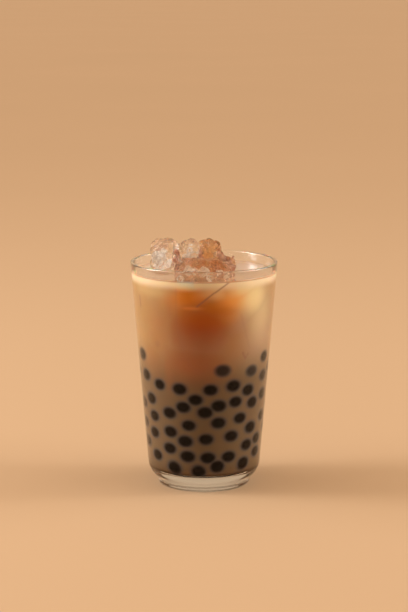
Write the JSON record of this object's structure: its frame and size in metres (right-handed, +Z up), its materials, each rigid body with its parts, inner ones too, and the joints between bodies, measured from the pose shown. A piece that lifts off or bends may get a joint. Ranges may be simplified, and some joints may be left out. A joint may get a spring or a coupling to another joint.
{
  "type": "bubble tea in a tumbler",
  "caption": "Tapered glass tumbler of milk tea, with dark tapioca pearls settled in its lower half and blocks of clear ice standing above the drink.",
  "frame": {"origin": "middle of the foot of the glass, on the surface that it stands on", "axes": "+Z up along the axis of the glass; -Y is the front, with +X to the right"},
  "size_m": [0.0798, 0.0798, 0.1363],
  "materials": {
    "clear_glass": "polished clear glass",
    "milk_tea": "cloudy milk tea, wet",
    "tapioca": "soft dark starch, wet",
    "ice": "clear melting ice with cracks"
  },
  "bodies": {
    "root": {"glass": "clear_glass", "milk_tea": "milk_tea", "tapioca_pearls": "tapioca", "ice_front": "ice", "ice_left": "ice", "ice_middle": "ice", "ice_crown": "ice", "ice_low": "ice"}
  },
  "joints": []
}
